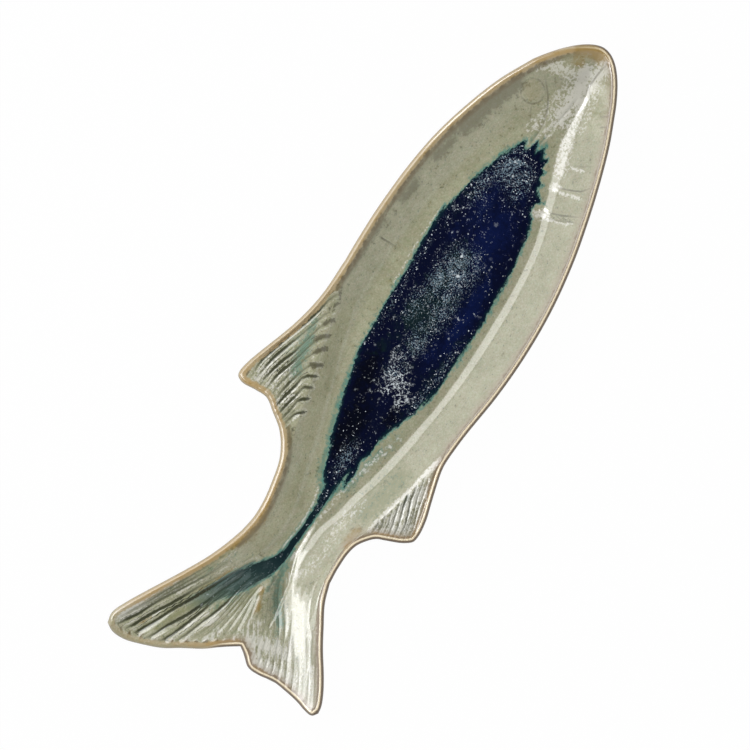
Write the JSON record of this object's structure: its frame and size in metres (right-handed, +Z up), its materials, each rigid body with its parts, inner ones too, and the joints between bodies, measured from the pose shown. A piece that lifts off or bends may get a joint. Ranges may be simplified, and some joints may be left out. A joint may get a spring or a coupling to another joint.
{
  "type": "fish shaped platter",
  "caption": "Fish shaped stoneware serving platter with a raised rounded rim, ribbed tail and fins, a foot ring underneath, and dark blue glaze pooled in the well over sage glaze.",
  "frame": {"origin": "centre of the outline's length and width, at the level of the table under the foot ring", "axes": "+X from the tail to the nose, +Y from the belly to the back, +Z up out of the dish"},
  "size_m": [0.5004, 0.162, 0.03],
  "materials": {
    "bare_stoneware": "matt, unglazed fired clay",
    "sage_glaze": "glossy, mottled, breaking to ochre at the edges",
    "blue_glaze": "very glossy, with pale crystal speckles"
  },
  "bodies": {
    "root": {"stoneware_body": "bare_stoneware", "foot_ring": "bare_stoneware", "sage_glaze": "sage_glaze", "blue_glaze_pool": "blue_glaze", "underside_glaze": "sage_glaze"}
  },
  "joints": []
}
